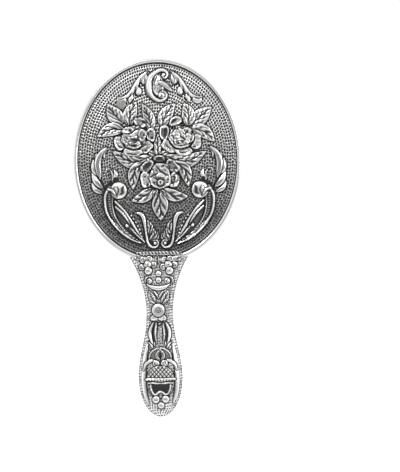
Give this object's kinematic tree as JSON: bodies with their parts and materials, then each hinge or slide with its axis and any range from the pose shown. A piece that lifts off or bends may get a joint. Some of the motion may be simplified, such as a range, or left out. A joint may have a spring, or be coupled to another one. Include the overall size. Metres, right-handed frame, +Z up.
{
  "type": "hand mirror",
  "caption": "Oval hand mirror with an embossed silver back, a plain rim band over the glass and a hollow waisted handle that swells to a round bulb.",
  "frame": {"origin": "middle of the grip, at the handle's waist", "axes": "+Z up the mirror from the handle to the head, +Y out of the glass, -Y out of the embossed back"},
  "size_m": [0.0748, 0.0106, 0.16],
  "materials": {
    "antique_silver": "pressed silver, dark oxide in the hollows and worn bright on the high places",
    "polished_silver": "polished silver with fine scratches",
    "glass": "clear polished glass",
    "mirror_coat": "mirror",
    "board": "plain stiff board",
    "pitch": "dark pitch",
    "steel": "plain steel strip"
  },
  "bodies": {
    "root": {"back_shell": "antique_silver", "rim_band": "polished_silver", "mirror_glass": "glass", "mirror_silvering": "mirror_coat", "backing_board": "board", "head_filler": "pitch", "tang": "steel", "handle_back_shell": "antique_silver", "handle_front_shell": "antique_silver", "handle_filler": "pitch"}
  },
  "joints": []
}
